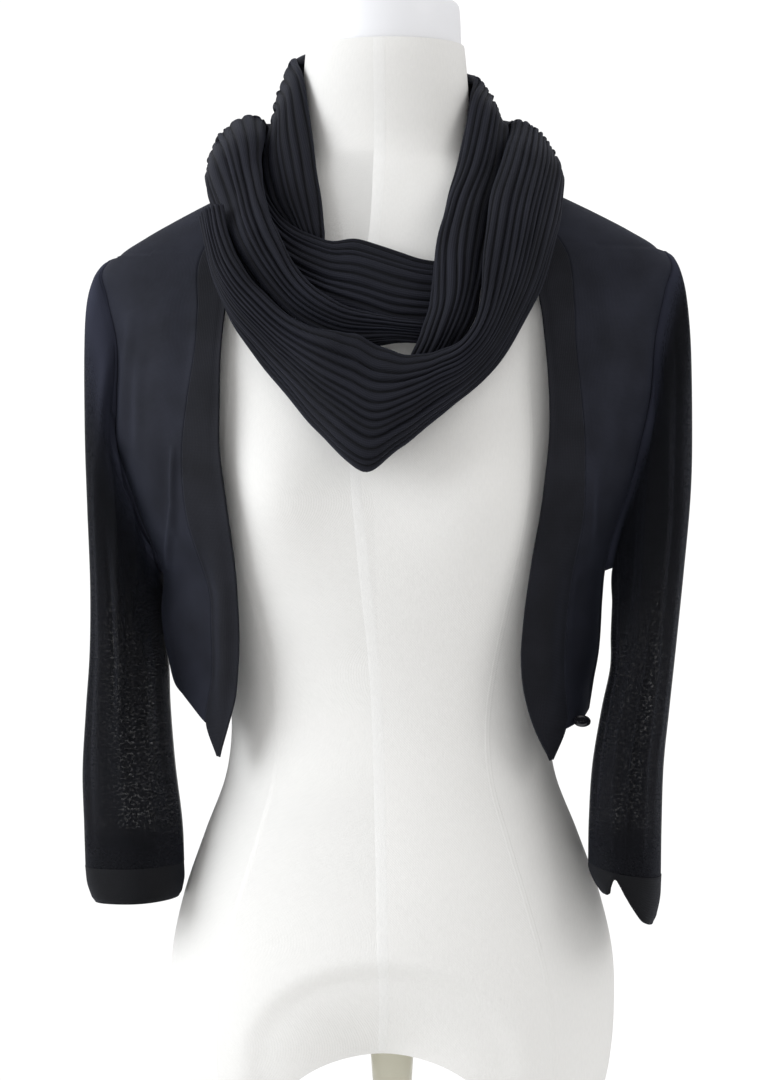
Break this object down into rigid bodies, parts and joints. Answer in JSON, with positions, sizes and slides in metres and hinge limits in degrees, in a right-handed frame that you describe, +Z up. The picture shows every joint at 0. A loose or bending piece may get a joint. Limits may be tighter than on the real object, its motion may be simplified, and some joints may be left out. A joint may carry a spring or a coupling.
{
  "type": "cardigan on a dress form",
  "caption": "Cropped open-front knit cardigan with sheer sleeves and a ribbed loop collar, on a limbless dress form with a pole and round base.",
  "frame": {"origin": "centre of the round base's flat underside, on the surface that the stand stands on", "axes": "+Z up along the pole, -Y the way the form faces, +X the wearer's left, which is the viewer's right from the front"},
  "size_m": [0.4253, 0.2881, 0.946],
  "materials": {
    "fine_knit": "matte fine-gauge jersey, near black navy",
    "sheer_knit": "thin open-gauge jersey, near black navy, slightly see-through",
    "rib_knit": "soft ribbed knit, near black navy with a bluish sheen",
    "form_linen": "plain off-white linen, tightly stretched",
    "cap_plastic": "satin white",
    "stand_enamel": "cream enamel, semi-gloss",
    "button_plastic": "polished near black"
  },
  "bodies": {
    "root": {"form_torso": "form_linen", "neck_cap": "cap_plastic", "pole_collar": "stand_enamel", "pole": "stand_enamel", "stand_base": "stand_enamel", "back_panel": "fine_knit", "front_panel_left": "fine_knit", "front_panel_right": "fine_knit", "front_band_left": "fine_knit", "front_band_right": "fine_knit", "sleeve_left": "sheer_knit", "sleeve_right": "sheer_knit", "cuff_left": "fine_knit", "cuff_right": "fine_knit", "collar_inner_left": "rib_knit", "collar_back_inner": "rib_knit", "collar_inner_right": "rib_knit", "collar_upper_front": "rib_knit", "collar_outer_left": "rib_knit", "collar_back_outer": "rib_knit", "collar_front_drape": "rib_knit", "button": "button_plastic"}
  },
  "joints": []
}
